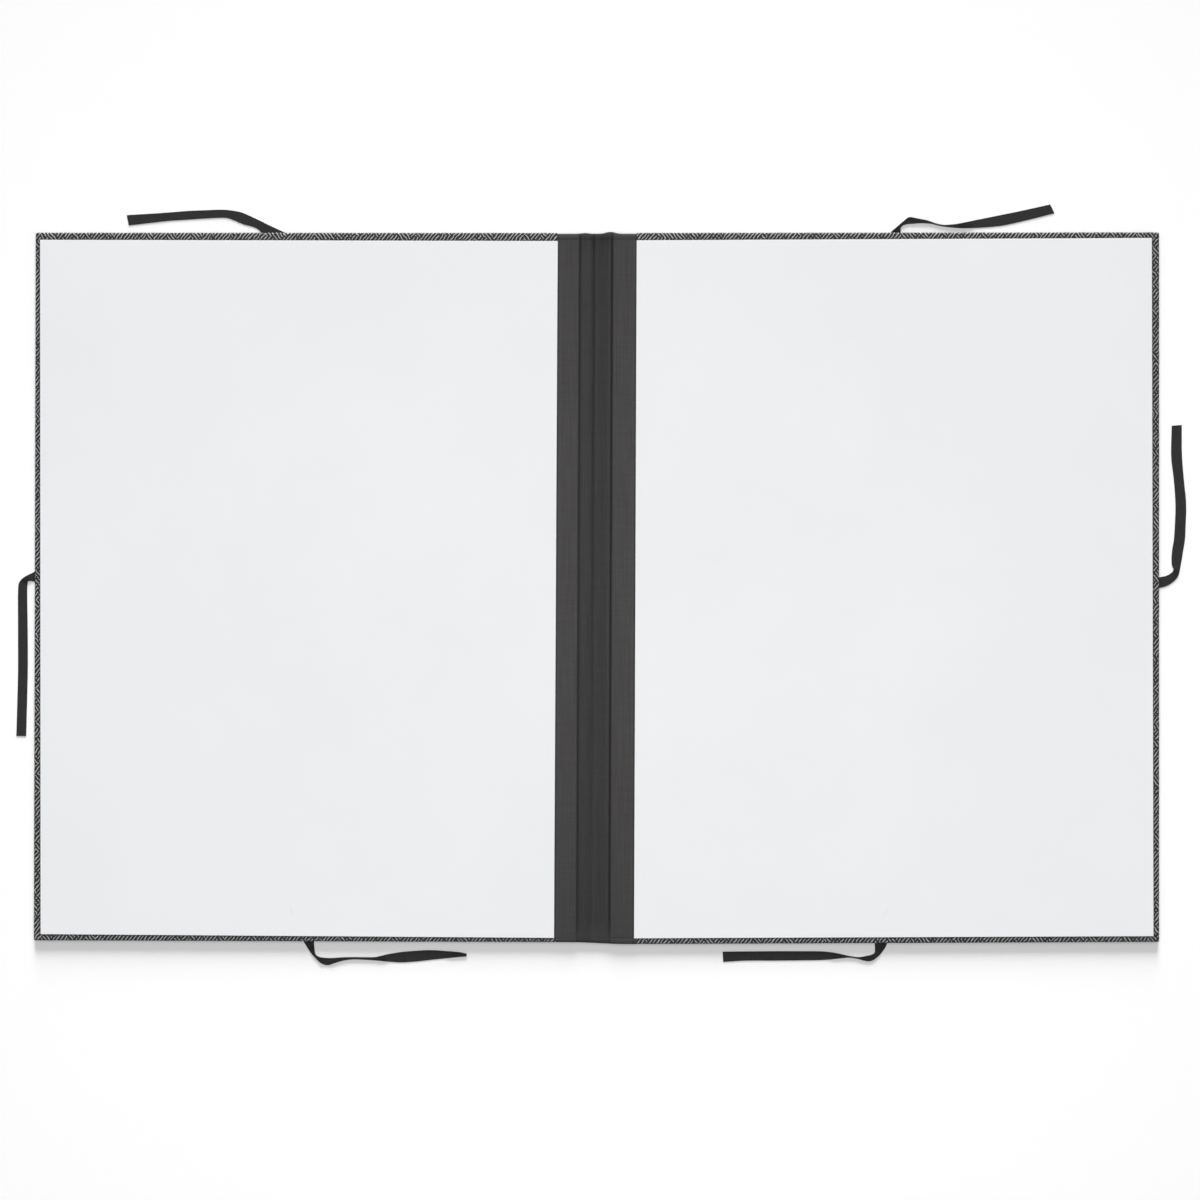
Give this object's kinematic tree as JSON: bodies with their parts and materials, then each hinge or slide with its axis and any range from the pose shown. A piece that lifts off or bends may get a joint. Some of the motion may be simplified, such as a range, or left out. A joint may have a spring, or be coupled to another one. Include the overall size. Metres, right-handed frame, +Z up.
{
  "type": "art portfolio",
  "caption": "Flat art portfolio lying open, inside up: stiff cloth-jointed covers with pale linings and ribbon ties at their outer edges.",
  "frame": {"origin": "on the table under the middle of the opened portfolio's spine, half way between head and tail", "axes": "+X towards the right cover's fore edge, +Y towards the head, +Z up out of the inside of the open covers"},
  "size_m": [1.093, 0.7108, 0.0046],
  "materials": {
    "board": "matte",
    "cover_paper": "satin",
    "infill": "matte",
    "lining": "matte",
    "cloth": "matte",
    "ribbon": "satin"
  },
  "bodies": {
    "spine": {"spine_outer_cloth": "cloth", "spine_inner_cloth": "cloth"},
    "left_cover": {"left_board": "board", "left_cover_paper": "cover_paper", "left_infill": "infill", "left_lining": "lining", "left_outer_cloth": "cloth", "left_inner_cloth": "cloth", "tie_head_left": "ribbon", "tie_fore_left": "ribbon", "tie_tail_left": "ribbon"},
    "right_cover": {"right_board": "board", "right_cover_paper": "cover_paper", "right_infill": "infill", "right_lining": "lining", "right_outer_cloth": "cloth", "right_inner_cloth": "cloth", "tie_head_right": "ribbon", "tie_fore_right": "ribbon", "tie_tail_right": "ribbon"}
  },
  "joints": [
    {"name": "left_hinge", "type": "hinge", "parent": "spine", "child": "left_cover", "pos_m": [-0.0144, 0, 0.0012], "axis": [0, 1, 0], "range_deg": [0, 90]},
    {"name": "right_hinge", "type": "hinge", "parent": "spine", "child": "right_cover", "pos_m": [0.0144, 0, 0.0012], "axis": [0, -1, 0], "range_deg": [0, 90]}
  ]
}
